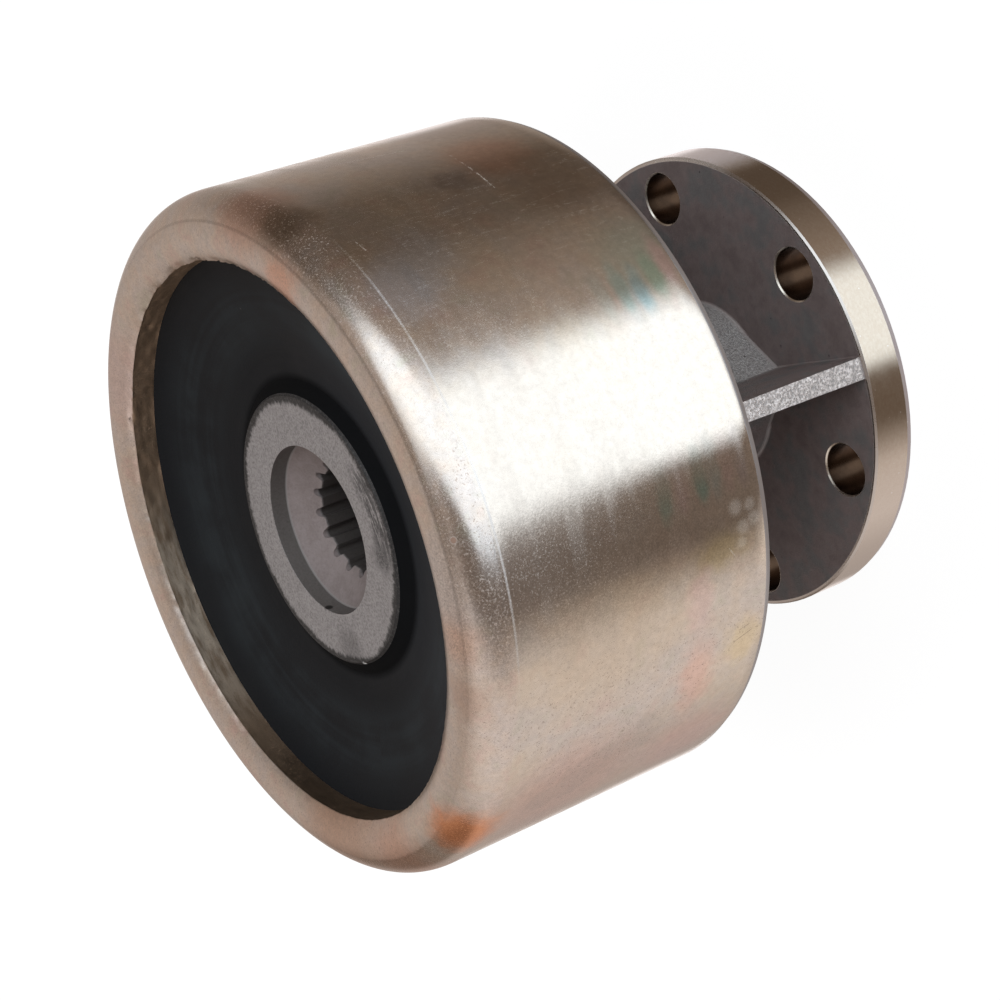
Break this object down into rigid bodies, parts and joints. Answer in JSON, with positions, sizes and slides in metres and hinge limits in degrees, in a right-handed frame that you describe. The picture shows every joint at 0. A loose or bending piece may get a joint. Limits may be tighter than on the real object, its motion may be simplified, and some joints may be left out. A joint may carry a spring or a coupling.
{
  "type": "engine coupler",
  "caption": "Rubber-sprung engine coupler: a bolted flange with a ribbed neck carries a plated drum whose rubber core holds a splined hub for the drive shaft.",
  "frame": {"origin": "centre of the flange's mounting face, on the shaft axis", "axes": "+Z along the shaft axis from the mounting face towards the splined hub; +X from the axis through the centre of one bolt hole"},
  "size_m": [0.152, 0.152, 0.1345],
  "materials": {
    "plated_steel": "yellow zinc plating, satin, scratched and stained in places",
    "black_rubber": "moulded, matte",
    "sintered_steel": "blasted light grey with a film of rubber at the rim",
    "cast_iron": "as cast and lightly plated, with a machined rim, holes and mounting face"
  },
  "bodies": {
    "root": {"drum": "plated_steel", "rubber_insert": "black_rubber", "splined_hub": "sintered_steel", "flange_casting": "cast_iron"}
  },
  "joints": []
}
